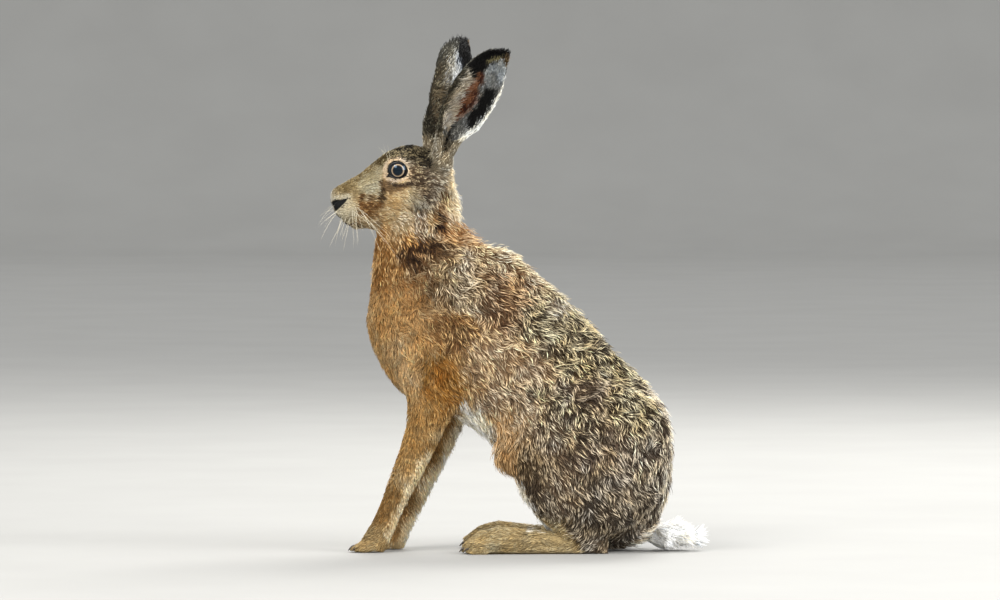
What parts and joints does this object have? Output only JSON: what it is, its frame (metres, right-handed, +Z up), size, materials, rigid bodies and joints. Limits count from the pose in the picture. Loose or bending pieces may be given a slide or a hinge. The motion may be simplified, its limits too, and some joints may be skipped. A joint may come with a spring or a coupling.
{
  "type": "brown hare",
  "caption": "Life-size brown hare sitting upright on its haunches, ears raised, in the still pose of a museum model.",
  "frame": {"origin": "on the floor under the middle of the animal's box", "axes": "+Z up, the muzzle towards -X, the animal's left side towards -Y"},
  "size_m": [0.3773, 0.1654, 0.5128],
  "materials": {
    "fur_head": "short olive-brown speckled fur",
    "fur_neck": "rust-brown fur",
    "fur_body": "black, cream and rust banded fur",
    "fur_legs": "short warm ochre fur",
    "fur_ear": "short grey-brown fur with a black tip",
    "fur_tail": "long white fur, black on top",
    "eye": "wet, amber-brown round a black pupil"
  },
  "bodies": {
    "root": {"head": "fur_head", "neck": "fur_neck", "torso": "fur_body", "foreleg_left": "fur_legs", "foreleg_right": "fur_legs", "forepaw_left": "fur_legs", "forepaw_right": "fur_legs", "haunch_left": "fur_body", "haunch_right": "fur_body", "hind_foot_left": "fur_legs", "hind_foot_right": "fur_legs", "ear_left": "fur_ear", "ear_right": "fur_ear", "eye_left": "eye", "eye_right": "eye", "tail": "fur_tail"}
  },
  "joints": []
}
